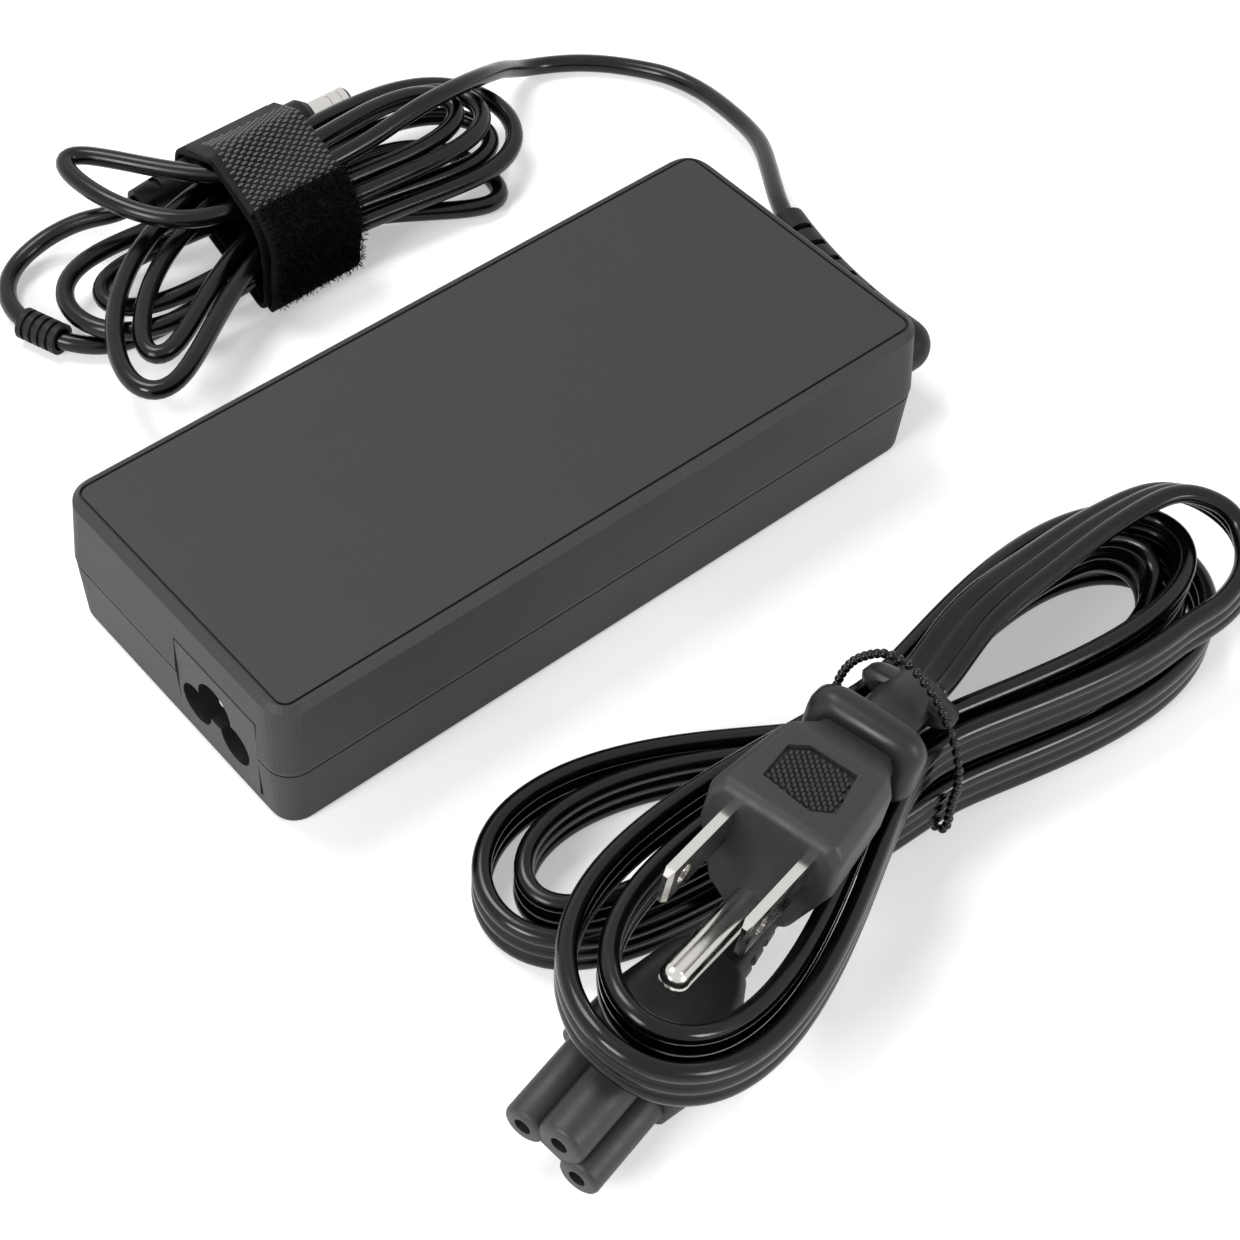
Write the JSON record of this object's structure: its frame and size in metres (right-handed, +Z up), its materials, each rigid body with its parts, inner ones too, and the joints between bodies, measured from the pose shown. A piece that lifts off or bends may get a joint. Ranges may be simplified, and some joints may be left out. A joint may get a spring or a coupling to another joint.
{
  "type": "laptop power adapter",
  "caption": "Black laptop power adapter with a mains inlet, an output cord strapped in a hank with a barrel plug, and a separate mains lead tied in a hank.",
  "frame": {"origin": "centre of the underside of the housing", "axes": "+X along the housing from the mains inlet to the output cord, +Y towards the output cord's hank, +Z up"},
  "size_m": [0.1751, 0.2169, 0.0362],
  "materials": {
    "housing_plastic": "fine spark-eroded texture",
    "housing_base_plastic": "fine spark-eroded texture",
    "inlet_plastic": "satin",
    "contact_metal": "bright nickel plate",
    "board": "satin",
    "sheet": "satin",
    "aluminium_sheet": "mill finish",
    "fuse_case": "gloss",
    "film_capacitor": "gloss",
    "choke": "satin",
    "black_component": "satin",
    "capacitor_sleeve": "gloss",
    "ferrite": "matt",
    "winding_tape": "gloss",
    "white_component": "satin",
    "wire_insulation": "satin",
    "boot_rubber": "satin",
    "dc_cord_jacket": "satin",
    "black_insulator": "satin",
    "strap_fabric": "fuzzy loop pile",
    "strap_hooks": "woven hook tape",
    "mains_cord_jacket": "gloss",
    "plug_plastic": "matt moulded vinyl",
    "plug_neck_rubber": "satin moulded vinyl",
    "contact_brass": "plain",
    "tie_plastic": "gloss"
  },
  "bodies": {
    "adapter": {"upper_housing": "housing_plastic", "lower_housing": "housing_base_plastic", "inlet_housing": "inlet_plastic", "inlet_live_pin": "contact_metal", "inlet_neutral_pin": "contact_metal", "inlet_earth_pin": "contact_metal", "circuit_board": "board", "insulation_sheet": "sheet", "heat_spreader": "aluminium_sheet", "input_fuse": "fuse_case", "x_capacitor": "film_capacitor", "common_mode_choke": "choke", "bridge_rectifier": "black_component", "bulk_capacitor": "capacitor_sleeve", "transformer_core": "ferrite", "transformer_winding": "winding_tape", "transistor_heat_sink": "aluminium_sheet", "output_capacitors": "capacitor_sleeve", "optocoupler": "white_component", "dc_output_wires": "wire_insulation", "dc_strain_relief": "boot_rubber", "dc_cord": "dc_cord_jacket", "dc_cord_hank": "dc_cord_jacket", "dc_cord_tail": "dc_cord_jacket", "cord_sleeve": "boot_rubber", "dc_plug_boot": "boot_rubber", "dc_plug_handle": "boot_rubber", "dc_plug_barrel": "contact_metal", "dc_plug_insulator": "black_insulator", "dc_plug_contact": "contact_metal", "strap_loop": "strap_fabric", "strap_tab": "strap_hooks"},
    "mains_lead": {"mains_cord_start": "mains_cord_jacket", "mains_cord_hank": "mains_cord_jacket", "mains_cord_end": "mains_cord_jacket", "wall_plug_body": "plug_plastic", "wall_plug_strain_relief": "plug_neck_rubber", "live_blade": "contact_metal", "neutral_blade": "contact_metal", "earth_pin": "contact_metal", "connector_body": "plug_plastic", "connector_contacts": "contact_brass", "connector_strain_relief": "plug_neck_rubber", "bead_tie": "tie_plastic"}
  },
  "joints": [
    {"name": "mains_lead_lift", "type": "slide", "parent": "adapter", "child": "mains_lead", "axis": [0, 0, 1], "range_m": [0, 0.12]}
  ]
}
